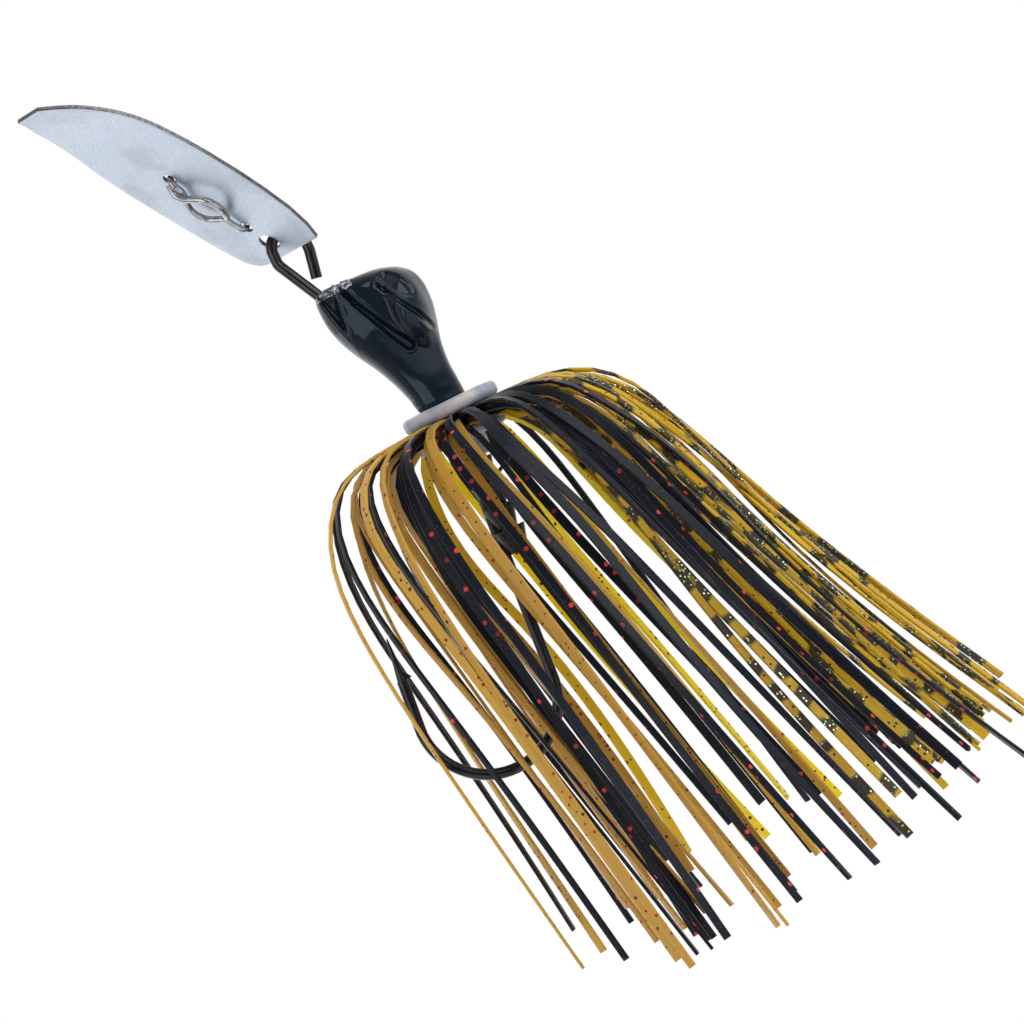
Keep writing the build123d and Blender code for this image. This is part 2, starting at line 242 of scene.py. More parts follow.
def band_rubber():
    """Dull black rubber."""
    rubber = Shader("band_rubber", Roughness=0.5)
    place = rubber.node("TexCoord").outputs["Object"]
    cloud = rubber.node("TexNoise", {"Vector": place, "Scale": 500, "Detail": 3}).outputs[0]
    rubber.link(rubber.ramp(cloud, (0.3, grey(0.012)), (0.7, grey(0.03))), "Base Color")
    rubber.bump(cloud, 0.3, 0.0001)
    return rubber.material


def keeper_plastic():
    """Glossy black moulded plastic with a faint flow texture."""
    plastic = Shader("keeper_plastic", Roughness=0.2)
    place = plastic.node("TexCoord").outputs["Object"]
    flow = plastic.node("TexNoise", {"Vector": place, "Scale": 700, "Detail": 4}).outputs[0]
    tone = plastic.ramp(flow, (0.3, (0.006, 0.007, 0.01)), (0.7, (0.016, 0.018, 0.024)))
    plastic.link(tone, "Base Color")
    plastic.link(plastic.ramp(flow, (0.3, grey(0.14)), (0.7, grey(0.3))), "Roughness")
    plastic.bump(flow, 0.2, 0.0001)
    return plastic.material


def flake_mask(shader, place, spacing, size, share):
    """Round flakes of one size, in a share of the cells of a grid of that spacing.

    Returns where they are and each cell's own random colour.
    """
    cells = shader.node(
        "TexVoronoi",
        {"Vector": place, "Scale": 1 / spacing, "Randomness": 0.8},
        voronoi_dimensions="2D",
    )
    near = shader.math("LESS_THAN", cells.outputs["Distance"], size / spacing)
    chosen = shader.node("SeparateColor", {0: cells.outputs["Color"]}).outputs[0]
    picked = shader.math("LESS_THAN", chosen, share)
    return shader.math("MULTIPLY", near, picked), cells.outputs["Color"]


def strand_silicone(name, dark, light, flakes, bars=False, glow=0.0, specular=0.5):
    """Skirt silicone: tinted rubber with flakes cast in it, and printed bars on the barred kind.

    UV x is the distance across a strand and y the distance along it, in metres. Metallic flakes
    are only for the barred kind, where they shine through the bars.
    """
    rubber = Shader(name, Roughness=0.36, IOR=1.41, Specular_IOR_Level=specular)
    place = rubber.node("UVMap", uv_map="strand").outputs[0]
    tint = rubber.node("Attribute", attribute_name="strand_tint").outputs["Fac"]
    streak_place = rubber.node("Mapping", {"Vector": place, "Scale": (3000, 120, 1)}).outputs[0]
    streak = rubber.node("TexNoise", {"Vector": streak_place, "Scale": 1, "Detail": 3}).outputs[0]
    tone = rubber.math("ADD", tint, rubber.math("MULTIPLY_ADD", streak, 0.5, -0.25))
    colour = rubber.ramp(tone, (0.1, dark), (0.9, light))
    if bars:
        bar_place = rubber.node("Mapping", {"Vector": place, "Scale": (110, 300, 1)}).outputs[0]
        bar_noise = rubber.node("TexNoise", {"Vector": bar_place, "Scale": 1, "Detail": 0}).outputs[0]
        bar = rubber.ramp(
            bar_noise,
            (0.515, grey(0)),
            (0.522, grey(0.5)),
            (0.545, grey(0.55)),
            (0.552, grey(0.96)),
        )
        colour = rubber.mix(bar, colour, (0.012, 0.010, 0.006, 1))
    shine = None
    for spacing, size, share, flake_colour, metallic in flakes:
        mask, cell_colour = flake_mask(rubber, place, spacing, size, share)
        if metallic:
            hue = rubber.node("SeparateColor", {0: cell_colour}).outputs[1]
            flake_colour = rubber.ramp(
                hue,
                (0.0, (0.1, 0.5, 0.12)),
                (0.35, (0.75, 0.8, 0.5)),
                (0.7, (0.9, 0.72, 0.2)),
                (1, (0.2, 0.6, 0.55)),
            )
            mask = rubber.math("MULTIPLY", mask, rubber.math("MULTIPLY_ADD", bar, 0.8, 0.2))
            shine = mask
        else:
            cell = rubber.node("SeparateColor", {0: cell_colour}).outputs[1]
            shaded = [0.3 * part for part in flake_colour]
            flake_colour = rubber.ramp(cell, (0.15, shaded), (0.7, flake_colour))
        colour = rubber.mix(mask, colour, flake_colour)
    rubber.link(colour, "Base Color")
    if shine is not None:
        rubber.link(rubber.math("MULTIPLY", shine, 0.8), "Metallic")
        rubber.link(rubber.math("MULTIPLY_ADD", shine, -0.2, 0.38), "Roughness")
    if glow:
        rubber.surface.inputs["Subsurface Weight"].default_value = glow
        rubber.surface.inputs["Subsurface Radius"].default_value = (1.0, 0.7, 0.2)
        rubber.surface.inputs["Subsurface Scale"].default_value = 0.0008
    relief = streak
    if bars:
        relief = rubber.node("TexNoise", {"Vector": place, "Scale": 4200, "Detail": 2}).outputs[0]
    rubber.bump(relief, 0.4, 0.00007)
    return rubber.material


# Spacing and radius of the flakes in metres, the share of cells that hold one, its colour, and
# whether it is metallic, with a colour of its own
RED_FLAKES = (
    (0.0024, 0.00027, 0.46, (0.80, 0.06, 0.06), False),
    (0.0007, 0.00006, 0.30, (0.09, 0.10, 0.13), False),
)
DOT_FLAKES = (
    (0.0016, 0.00020, 0.45, (0.42, 0.02, 0.008), False),
    (0.0011, 0.00012, 0.36, (0.06, 0.03, 0.01), False),
)
HOLO_FLAKES = (
    (0.0004, 0.00011, 0.32, None, True),
    (0.0012, 0.00016, 0.30, (0.03, 0.022, 0.008), False),
)
black_silicone = strand_silicone(
    "black_silicone", (0.002, 0.003, 0.007), (0.009, 0.012, 0.023), RED_FLAKES, specular=0.3
)
amber_silicone = strand_silicone(
    "amber_silicone", (0.40, 0.19, 0.016), (0.64, 0.38, 0.055), DOT_FLAKES, glow=0.2
)
# A lighter, yellower copy of the amber: painted light, for amber strands lit through from behind.
backlit_amber_silicone = strand_silicone(
    "backlit_amber_silicone", (0.74, 0.46, 0.006), (1.0, 0.78, 0.008), DOT_FLAKES, glow=0.2
)
barred_silicone = strand_silicone(
    "barred_silicone", (0.46, 0.245, 0.004), (0.82, 0.54, 0.010), HOLO_FLAKES, bars=True, glow=0.2
)


# ---- Mesh helpers ---------------------------------------------------------------------------
def mesh_data(name, mesh):
    """The bmesh as mesh data of that name, with its normals outward."""
    bmesh.ops.recalc_face_normals(mesh, faces=mesh.faces)
    data = bpy.data.meshes.new(name)
    mesh.to_mesh(data)
    mesh.free()
    return data


def smooth(piece, angle):
    """Shades a piece smooth, with creases where its faces meet at more than that angle."""
    bpy.ops.object.select_all(action="DESELECT")
    piece.select_set(True)
    bpy.context.view_layer.objects.active = piece
    bpy.ops.object.shade_smooth_by_angle(angle=radians(angle))


def finished(name, mesh, body, nodes, materials, smooth_angle=None):
    """The mesh as a piece of that name, riding on its body in place of the named CAD nodes."""
    piece = bpy.data.objects.new(name, mesh)
    bpy.context.scene.collection.objects.link(piece)
    for material in materials:
        mesh.materials.append(material)
    if smooth_angle is not None:
        smooth(piece, smooth_angle)
    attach(piece, body)
    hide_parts(*nodes)
    return piece


def add_run(curve, points, order, resolution):
    """Adds a smooth open run led by those points to a curve."""
    spline = curve.splines.new("NURBS")
    spline.points.add(len(points) - 1)
    for control, point in zip(spline.points, points):
        control.co = (*point, 1.0)
    spline.order_u = order
    spline.use_endpoint_u = True
    spline.resolution_u = resolution


def curve_data(curve):
    """The curve as mesh data. The curve itself is removed."""
    holder = bpy.data.objects.new(curve.name, curve)
    bpy.context.scene.collection.objects.link(holder)
    data = bpy.data.meshes.new_from_object(holder)
    bpy.data.objects.remove(holder)
    bpy.data.curves.remove(curve)
    return data


def smooth_line(points, count):
    """Evenly spaced points on a smooth open line led by those points, and the line's length."""
    curve = bpy.data.curves.new("line", "CURVE")
    curve.dimensions = "3D"
    add_run(curve, points, 4, 24)
    fine = [vertex.co.copy() for vertex in curve_data(curve).vertices]
    reach = [0.0]
    for before, after in zip(fine, fine[1:]):
        reach.append(reach[-1] + (after - before).length)
    even = []
    place = 0
    for step in range(count):
        target = reach[-1] * step / (count - 1)
        while place < len(reach) - 2 and reach[place + 1] < target:
            place += 1
        share = (target - reach[place]) / max(reach[place + 1] - reach[place], 1e-12)
        even.append(fine[place].lerp(fine[place + 1], min(share, 1.0)))
    return even, reach[-1]


def along(points, index):
    """The direction of a line of points at one of them."""
    return (points[min(index + 1, len(points) - 1)] - points[max(index - 1, 0)]).normalized()


# ---- Skirt ----------------------------------------------------------------------------------
FIRST_ANGLE = 23.0  # degrees round the hub from the hook point's side, to the viewer first
ANGLE_JITTER = (0.2, 0.8)  # where a strand starts within its own share of the zone
STATIONS = 30
STRAND_HALF_WIDTH = 0.5
STRAND_HALF_THICK = 0.19
WIDTH_RANGE = (0.72, 1.18)
SPREAD_RANGE = (0.84, 1.05)  # of how far out a strand stands
SWAY_SPREAD = 6.5  # degrees round the hub, at the tip
SWAY_LIMIT = 11.0
LENGTH_RANGE = (0.93, 1.03)
ROOT_TWIST_SPREAD = 12
TIP_TWIST_SPREAD = 55
TINT_RANGE = (0.2, 0.8)
UV_START_RANGE = (0, 200)  # mm, so that no two strands carry the same flakes
BACK_UV_SHIFT = 5  # half widths between the flakes of a strand's two faces
WOBBLE = 0.0007  # metres
ROOT_RADIUS = 3.9
LAYER_HEIGHTS = (-0.92, -1.66, -2.40)
# From root to tip (mm): how far a strand drops, and how far out it stands on the hook point's
# side and on the belly side. Each layer lies inside the one before.
STRAND_ROUTE = (
    (0.1, 9.5, 9.0),
    (0.2, 17.0, 14.0),
    (5.5, 23.5, 18.5),
    (17.0, 27.3, 21.0),
    (36.0, 28.0, 23.2),
    (61.8, 31.0, 30.2),
)
LAYER_SHARES = (1.0, 0.8, 0.6)
CLUMP_ANGLE = 15.0
CLUMP_PULL = 0.65  # how far the tips gather towards the middle of their clump
LONG_SIDE = radians(50.0)
LONG_SIDE_GAIN = 0.06
BACKLIT_AMBER_ZONES = ("back", "back_left")  # amber strands here take a lighter yellow copy of the amber: painted backlight
# Each zone's end angle, the colours that alternate in it and how many strands it has
ZONES = (
    ("left", 54.0, ("black", "amber"), 11),
    ("front_left", 84.0, ("amber", "black"), 9),
    ("front", 120.0, ("black", "amber", "black", "black"), 8),
    ("front_right", 146.0, ("black", "black", "barred"), 8),
    ("right", 192.0, ("barred",), 23),
    ("back_right", 228.0, ("barred",) * 5 + ("black",), 14),
    ("back", 270.0, ("amber", "black"), 7),
    ("back_left", 304.0, ("black", "amber"), 7),
    ("far_left", 338.0, ("amber", "black"), 11),
)


def strand_line(angle, layer, spread, sway, length_share):
    """A strand's smooth centre line, its length, and the direction out from the hub at its root."""
    root = hub_centre + nose_dir * LAYER_HEIGHTS[layer] * MM
    root_out = point_dir * cos(angle) - side_dir * sin(angle)
    points = [root + root_out * ROOT_RADIUS * MM]
    point_side_share = (1 + cos(angle)) / 2
    clump = round(degrees(angle) / CLUMP_ANGLE) * CLUMP_ANGLE
    pull = (radians(clump) - angle) * CLUMP_PULL
    for step, (drop, out_point_side, out_belly_side) in enumerate(STRAND_ROUTE):
        progress = step / (len(STRAND_ROUTE) - 1)
        turn = angle + sway * progress**1.5 + pull * progress**2
        outward = point_dir * cos(turn) - side_dir * sin(turn)
        out = out_belly_side + (out_point_side - out_belly_side) * point_side_share
        out = ROOT_RADIUS + (out - ROOT_RADIUS) * LAYER_SHARES[layer] * spread
        points.append(root + outward * out * MM + strand_dir * drop * length_share * MM)
    for step in range(3, len(points) - 1):
        points[step] += Vector([random.gauss(0, WOBBLE) for _ in range(3)])
    line, length = smooth_line(points, STATIONS)
    return line, length, root_out


# Half the section's width and half its thickness, round a strand's section with soft corners
STRAND_SECTION = (
    (-1.0, -0.5), (-0.85, -1.0), (0.85, -1.0), (1.0, -0.5),
    (1.0, 0.5), (0.85, 1.0), (-0.85, 1.0), (-1.0, 0.5),
)


def add_strand(mesh, angle, layer):
    """One flat strand with square ends, added to a bmesh. It twists and sways a little."""
    spread = random.uniform(*SPREAD_RANGE)
    sway = radians(max(-SWAY_LIMIT, min(SWAY_LIMIT, random.gauss(0, SWAY_SPREAD))))
    length_share = random.uniform(*LENGTH_RANGE) + LONG_SIDE_GAIN * cos(angle - LONG_SIDE)
    line, length, root_out = strand_line(angle, layer, spread, sway, length_share)
    twist_start = radians(random.gauss(0, ROOT_TWIST_SPREAD))
    twist_end = radians(random.gauss(0, TIP_TWIST_SPREAD))
    half_width = STRAND_HALF_WIDTH * random.uniform(*WIDTH_RANGE) * MM
    half_thick = STRAND_HALF_THICK * MM
    tint = random.uniform(*TINT_RANGE)
    uv_start = Vector((random.uniform(*UV_START_RANGE), random.uniform(*UV_START_RANGE))) * MM
    uv_layer = mesh.loops.layers.uv["strand"]
    tint_layer = mesh.verts.layers.float["strand_tint"]
    rings = []
    for step, centre in enumerate(line):
        share = step / (STATIONS - 1)
        direction = along(line, step)
        across = direction.cross(root_out).normalized()
        turn = twist_start + (twist_end - twist_start) * share
        across = Matrix.Rotation(turn, 3, direction) @ across
        normal = direction.cross(across)
        ring = []
        for width_share, thick_share in STRAND_SECTION:
            place = centre + across * half_width * width_share + normal * half_thick * thick_share
            vertex = mesh.verts.new(place)
            vertex[tint_layer] = tint
            back_shift = BACK_UV_SHIFT * half_width if thick_share > 0 else 0.0
            uv = uv_start + Vector((half_width * width_share + back_shift, length * share))
            ring.append((vertex, uv))
        rings.append(ring)
    faces = [rings[0][::-1], rings[-1]]
    for near, far in zip(rings, rings[1:]):
        for side in range(len(STRAND_SECTION)):
            after = (side + 1) % len(STRAND_SECTION)
            faces.append((near[side], near[after], far[after], far[side]))
    for corners in faces:
        face = mesh.faces.new([vertex for vertex, _ in corners])
        for loop, (_, uv) in zip(face.loops, corners):
            loop[uv_layer].uv = uv


def make_skirt():
    """All strands, one piece for each colour of each zone, at jittered angles round the hub."""
    silicone = {"black": black_silicone, "amber": amber_silicone, "barred": barred_silicone}
    start = FIRST_ANGLE
    for zone, end, colours, count in ZONES:
        groups = {}
        for colour in dict.fromkeys(colours):
            groups[colour] = bmesh.new()
            groups[colour].loops.layers.uv.new("strand")
            groups[colour].verts.layers.float.new("strand_tint")
        for index in range(count):
            angle = start + (end - start) * (index + random.uniform(*ANGLE_JITTER)) / count
            mesh = groups[colours[index % len(colours)]]
            add_strand(mesh, radians(angle), index % len(LAYER_SHARES))
        start = end
        for colour, mesh in groups.items():
            data = mesh_data(f"{colour}_strands_{zone}", mesh)
            material = silicone[colour]
            # Painted backlight: the amber at the back takes its lighter yellow copy.
            if colour == "amber" and zone in BACKLIT_AMBER_ZONES:
                material = backlit_amber_silicone
            finished(data.name, data, "jig", [f"skirt_{colour}_{zone}"], [material], 40)


make_skirt()


# ---- Head -----------------------------------------------------------------------------------
# Distance to the nose from the hub's centre, the outline towards the hook point and towards the
# belly, and half the width (mm)
HEAD_OUTLINE = (
    (-5.4, 1.7, -1.7, 1.7),
    (0.2, 1.7, -1.7, 1.7),
    (0.9, 3.15, -2.3, 2.7),
    (2.8, 3.7, -2.25, 2.95),
    (4.8, 4.35, -2.15, 3.2),
    (7.4, 5.5, -2.4, 3.7),
    (9.7, 6.8, -3.0, 4.2),
    (11.8, 7.8, -3.45, 4.65),
    (13.9, 8.4, -3.5, 4.8),
    (15.7, 8.55, -2.95, 4.5),
    (16.9, 8.5, -1.7, 4.1),
    (17.5, 8.3, -0.3, 3.6),
    (17.85, 7.9, 1.2, 2.9),
    (18.0, 7.2, 3.2, 1.8),
)
HEAD_RINGS = 260
HEAD_SIDES = 220
HEAD_SMOOTHINGS = 3
HEAD_CROWDING = 1.35  # above 1, rings lie closer together at the nose
HEAD_SQUARENESS = 0.85  # 1 is an ellipse
WING_PLACE = (-1.0, 12.2)
WING_REACH = (1.9, 4.2)
WING_RISE = 1.7
# Where the paint is chipped to bare lead: from none to all of it, by height and towards the point
BARE_HEIGHTS = (16.7, 17.4)
BARE_SIDE = (3.2, 4.6)
CHIP_BUMPS = ((2.3, 0.22), (5.0, 0.13))  # how fine, and how tall in mm
# Carved lines on each cheek: points (point side, nose), half width at start and end, depth (mm)
CARVINGS = (
    (((5.4, 17.7), (4.45, 15.0), (3.15, 12.4), (1.95, 10.0), (1.0, 8.4)), 0.18, 0.5, 0.8),
    (((1.3, 15.9), (-0.2, 13.0), (-1.4, 11.1), (-2.2, 9.2)), 0.14, 0.22, 0.5),
)
# The recess between the ridges at the nose, and the almond-shaped cup in the wing
RECESS = ((8.2, 17.7), (5.9, 17.5), (6.7, 11.9))
RECESS_DEPTH = 1.0
RIDGE_RISE = 0.16
RIDGE_OFFSET = 0.3  # from a carving's edge to the middle of the ridge beside it
CUP_CENTRE = (-0.7, 15.0)
CUP_RUN = Vector((0.54, 0.84))
CUP_REACH = (2.3, 0.95)
CUP_DEPTH = 0.6


def outline_at(height):
    """The head's three outline values at that height, on a smooth line through the table."""
    table = HEAD_OUTLINE
    last = len(table) - 2
    index = next((i for i in range(last + 1) if height <= table[i + 1][0]), last)
    low, high = table[index], table[index + 1]
    before, after = table[max(index - 1, 0)], table[min(index + 2, len(table) - 1)]
    span = high[0] - low[0]
    share = (height - low[0]) / span
    values = []
    for column in (1, 2, 3):
        slope_low = (high[column] - before[column]) / max(high[0] - before[0], 1e-6) * span
        slope_high = (after[column] - low[column]) / max(after[0] - low[0], 1e-6) * span
        steep = 3 * abs(high[column] - low[column])
        slope_low = max(-steep, min(steep, slope_low))
        slope_high = max(-steep, min(steep, slope_high))
        cube, square = share**3, share**2
        values.append(
            low[column] * (2 * cube - 3 * square + 1)
            + slope_low * (cube - 2 * square + share)
            + high[column] * (3 * square - 2 * cube)
            + slope_high * (cube - square)
        )
    return values


def soft_step(low, high, value):
    """0 below low, 1 above high, and a smooth ramp between."""
    share = max(0.0, min(1.0, (value - low) / (high - low)))
    return share * share * (3 - 2 * share)


def line_distance(place, points):
    """The distance from a point to a broken line, and how far along it the nearest place is."""
    best = (1e9, 0.0)
    for index, (start, end) in enumerate(zip(points, points[1:])):
        start, end = Vector(start), Vector(end)
        run = end - start
        share = max(0.0, min(1.0, (place - start).dot(run) / run.length_squared))
        distance = (place - start - run * share).length
        best = min(best, (distance, (index + share) / (len(points) - 1)))
    return best


def triangle_depth(place, corners):
    """How far inside a triangle a point is, or a negative distance outside its nearest side."""
    centre = sum((Vector(c) for c in corners), Vector((0, 0))) / 3
    depth = 1e9
    for start, end in zip(corners, corners[1:] + corners[:1]):
        start, end = Vector(start), Vector(end)
        inward = Vector((start.y - end.y, end.x - start.x)).normalized()
        if inward.dot(centre - start) < 0:
            inward = -inward
        depth = min(depth, inward.dot(place - start))
    return depth


def cheek_depth(place):
    """How deep the cheek is carved at a place (point side, nose), in mm. Ridges are negative."""
    depth = 0.0
    for points, start_half, end_half, full_depth in CARVINGS:
        distance, share = line_distance(place, points)
        half = start_half + (end_half - start_half) * share
        depth += full_depth * (1 - soft_step(half - 0.16, half + 0.2, distance))
        depth -= RIDGE_RISE * (1 - soft_step(0.0, 0.3, abs(distance - half - RIDGE_OFFSET)))
    inside = triangle_depth(place, RECESS)
    depth += RECESS_DEPTH * soft_step(-0.05, 0.4, inside)
    depth -= RIDGE_RISE * (1 - soft_step(0.0, 0.35, abs(inside + RIDGE_OFFSET)))
    off = place - Vector(CUP_CENTRE)
    cup = Vector((off.dot(CUP_RUN) / CUP_REACH[0], off.cross(CUP_RUN) / CUP_REACH[1]))
    depth += CUP_DEPTH * (1 - soft_step(0.7, 1.15, cup.length))
    return depth


def make_head():
    """The head: rings round the shank that follow the outline, with wings and carved cheeks."""
    mesh = bmesh.new()
    bare_layer = mesh.verts.layers.float.new("bare_lead")
    rings = []
    low, high = HEAD_OUTLINE[0][0], HEAD_OUTLINE[-1][0]
    for step in range(HEAD_RINGS):
        share = step / (HEAD_RINGS - 1)
        height = low + (high - low) * (1 - (1 - share) ** HEAD_CROWDING)
        top, bottom, half_width = outline_at(height)
        ring = []
        for side in range(HEAD_SIDES):
            angle = 2 * pi * side / HEAD_SIDES
            x = (top + bottom) / 2 + (top - bottom) / 2 * cos(angle)
            facing = abs(sin(angle))
            z = half_width * facing**HEAD_SQUARENESS * (1 if sin(angle) > 0 else -1)
            place = Vector((x, height))
            wing_across = (x - WING_PLACE[0]) / WING_REACH[0]
            wing_along = (height - WING_PLACE[1]) / WING_REACH[1]
            wing = wing_across**2 + wing_along**2
            grow = WING_RISE * (1 - soft_step(0.0, 1.6, wing)) * soft_step(0.1, 0.5, facing)
            carve = cheek_depth(place) * soft_step(0.15, 0.6, facing) * soft_step(2.0, 4.0, height)
            z = z + (grow - carve) * (1 if z > 0 else -1)
            bare = soft_step(*BARE_HEIGHTS, height) * soft_step(*BARE_SIDE, x)
            spot = Vector((x, height, z))
            rough = sum(noise.noise(spot * finer) * tall for finer, tall in CHIP_BUMPS)
            vertex = mesh.verts.new(hub_point(x, height + rough * bare, z))
            vertex[bare_layer] = bare
            ring.append(vertex)
        rings.append(ring)
    for near, far in zip(rings, rings[1:]):
        for side in range(HEAD_SIDES):
            after = (side + 1) % HEAD_SIDES
            mesh.faces.new((near[side], near[after], far[after], far[side]))
    for ring in (rings[0], rings[-1]):
        centre = sum((vertex.co for vertex in ring), Vector()) / HEAD_SIDES
        middle = mesh.verts.new(centre)
        middle[bare_layer] = 1.0 if ring is rings[-1] else 0.0
        for side in range(HEAD_SIDES):
            mesh.faces.new((ring[side], ring[(side + 1) % HEAD_SIDES], middle))
    painted = [vertex for vertex in mesh.verts if vertex[bare_layer] < 0.1]
    for _ in range(HEAD_SMOOTHINGS):
        bmesh.ops.smooth_vert(
            mesh,
            verts=painted,
            factor=0.5,
            use_axis_x=True,
            use_axis_y=True,
            use_axis_z=True,
        )
    data = mesh_data("painted_head", mesh)
    finished("painted_head", data, "jig", ["head"], [head_paint()], 60)


make_head()


# ---- Silicone hub -----------------------------------------------------------------------------
HUB_BORE = 1.72
# Radius and height (mm) round the hub's section: bore, soft flange, sleeve, lower flange, sleeve
HUB_SECTION = (
    (HUB_BORE, 0.9), (5.0, 1.0), (5.4, 0.92), (5.68, 0.62), (5.74, 0.15), (5.68, -0.3), (5.4, -0.6),
    (5.0, -0.68), (2.32, -0.62), (2.32, -2.82), (4.6, -2.8), (5.0, -2.9), (5.2, -3.2),
    (5.15, -3.55), (4.85, -3.78), (4.5, -3.82), (2.5, -3.8), (2.35, -3.95), (2.3, -6.0),
    (2.2, -6.1), (HUB_BORE, -6.1),
)
HUB_SIDES = 128
HUB_UNEVENNESS = 0.03  # share of the distance out from the bore


def make_hub():
    """The skirt's moulded hub, turned round the shank. Its rims are a little uneven."""
    mesh = bmesh.new()
    rings = []
    for side in range(HUB_SIDES):
        angle = 2 * pi * side / HUB_SIDES
        ring = []
        for radius, height in HUB_SECTION:
            around = Vector((cos(angle), sin(angle), height * 0.3))
            uneven = noise.noise(around * 1.7) * HUB_UNEVENNESS * (radius - HUB_BORE)
            x, z = (radius + uneven) * cos(angle), (radius + uneven) * sin(angle)
            ring.append(mesh.verts.new(hub_point(x, height + uneven * 0.4, z)))
        rings.append(ring)
    for near, far in zip(rings, rings[1:] + rings[:1]):
        for i in range(len(HUB_SECTION)):
            after = (i + 1) % len(HUB_SECTION)
            mesh.faces.new((near[i], near[after], far[after], far[i]))
    data = mesh_data("silicone_hub", mesh)
    finished("silicone_hub", data, "jig", ["skirt_hub"], [hub_silicone()], 50)


make_hub()


# ---- Blade ------------------------------------------------------------------------------------
BLADE_THICK = 0.45
BLADE_TAIL = -11.1
BLADE_BEVEL = 0.09
BLADE_CURL_START = 12.5
BLADE_CURL_RADIUS = 21.9
BLADE_CURL = radians(31.4)
TAIL_CORNER = 2.2  # radius of the rounded tail corner
# Distance forward of the middle of the snap holes, and the width on each side of it there (mm)
BLADE_OUTLINE = (
    (BLADE_TAIL, 6.2, 6.3), (-9.0, 7.3, 6.7), (-6.0, 8.2, 7.1), (-2.0, 8.7, 7.3), (1.5, 8.85, 7.4),
    (6.0, 8.75, 7.5), (9.0, 8.45, 7.4), (12.0, 7.9, 7.1), (14.5, 7.1, 6.6), (16.4, 6.35, 6.05),
    (20.0, 4.65, 4.6), (22.3, 3.1, 2.95), (23.5, 2.35, 2.15),
)
BLADE_ROWS = 71
BLADE_COLUMNS = 25
BLADE_CROWDING = 1.15  # above 1, rows lie closer together at the tail
BLADE_HOLES = ((-8.5, 1.25), (-5.3, 0.8), (5.3, 0.8))  # place forward and radius (mm)
HOLE_SIDES = 40
DRILL_LENGTH = 4


def widths_at(forward):
    """The plate's width on each side, on straight lines through its closely set outline."""
    for low, high in zip(BLADE_OUTLINE, BLADE_OUTLINE[1:]):
        if forward <= high[0]:
            share = (forward - low[0]) / (high[0] - low[0])
            return [low[side] + (high[side] - low[side]) * share for side in (1, 2)]
    return BLADE_OUTLINE[-1][1:]


def curl_turn(forward):
    """How far the curl has turned the plate, that far forward of the snap holes' middle."""
    share = (forward - BLADE_CURL_START) / (BLADE_CURL_RADIUS * sin(BLADE_CURL))
    return max(0.0, min(1.0, share)) * BLADE_CURL


def curled(across, forward, out):
    """A point of the flat plate after its front is curled towards the eye's face."""
    if forward <= BLADE_CURL_START:
        return blade_point(across, forward, out)
    turn = curl_turn(forward)
    reach = BLADE_CURL_START + (BLADE_CURL_RADIUS - out) * sin(turn)
    return blade_point(across, reach, BLADE_CURL_RADIUS - (BLADE_CURL_RADIUS - out) * cos(turn))


def drill(piece, forward, radius):
    """Takes a round hole out of the plate, square to its face."""
    bpy.ops.object.select_all(action="DESELECT")
    bpy.ops.mesh.primitive_cylinder_add(
        vertices=HOLE_SIDES,
        radius=radius * MM,
        depth=DRILL_LENGTH * MM,
    )
    drill_bit = bpy.context.object
    turn = Matrix((blade_across, blade_forward, blade_face)).transposed().to_4x4()
    drill_bit.data.transform(Matrix.Translation(blade_point(0, forward, 0)) @ turn)
    cut = piece.modifiers.new("hole", "BOOLEAN")
    cut.object = drill_bit
    cut.operation = "DIFFERENCE"
    bpy.context.view_layer.objects.active = piece
    bpy.ops.object.modifier_apply(modifier=cut.name)
    bpy.data.objects.remove(drill_bit)


def make_blade():
    """The plate: rows across it follow the outline, with one tail corner rounded."""
    mesh = bmesh.new()
    sheets = []
    for out in (-BLADE_THICK / 2, BLADE_THICK / 2):
        rows = []
        for row in range(BLADE_ROWS):
            share = row / (BLADE_ROWS - 1)
            forward = BLADE_TAIL + (BLADE_OUTLINE[-1][0] - BLADE_TAIL) * share**BLADE_CROWDING
            sharp_side, round_side = widths_at(forward)
            inside = max(0.0, TAIL_CORNER - (forward - BLADE_TAIL))
            round_side += (TAIL_CORNER**2 - inside**2) ** 0.5 - TAIL_CORNER
            step_across = (sharp_side + round_side) / (BLADE_COLUMNS - 1)
            across = [step_across * i - round_side for i in range(BLADE_COLUMNS)]
            rows.append([mesh.verts.new(curled(x, forward, out)) for x in across])
        sheets.append(rows)
    under, over = sheets
    for rows in sheets:
        for near, far in zip(rows, rows[1:]):
            for i in range(BLADE_COLUMNS - 1):
                mesh.faces.new((near[i], near[i + 1], far[i + 1], far[i]))
    for i in range(BLADE_COLUMNS - 1):
        for row in (0, -1):
            mesh.faces.new((under[row][i], under[row][i + 1], over[row][i + 1], over[row][i]))
    for row in range(BLADE_ROWS - 1):
        for i in (0, -1):
            mesh.faces.new((under[row][i], under[row + 1][i], over[row + 1][i], over[row][i]))
    data = mesh_data("steel_blade", mesh)
    piece = finished("steel_blade", data, "blade", ["blade"], blade_steel())
    for forward, radius in BLADE_HOLES:
        drill(piece, forward, radius)
    soften = piece.modifiers.new("deburred", "BEVEL")
    soften.width = BLADE_BEVEL * MM
    soften.segments = 2
    soften.limit_method = "ANGLE"
    soften.angle_limit = radians(50)
    bpy.context.view_layer.objects.active = piece
    bpy.ops.object.modifier_apply(modifier=soften.name)
    # Faces on the edges take the second material, the painted shade.
    for face in piece.data.polygons:
        turn = curl_turn((face.center - blade_middle).dot(blade_forward) / MM)
        flat_normal = blade_face * cos(turn) - blade_forward * sin(turn)
        face.material_index = 1 if abs(face.normal.dot(flat_normal)) < 0.5 else 0
    smooth(piece, 35)


make_blade()


# ---- Line-tie snap ----------------------------------------------------------------------------
SNAP_WIRE = 0.8
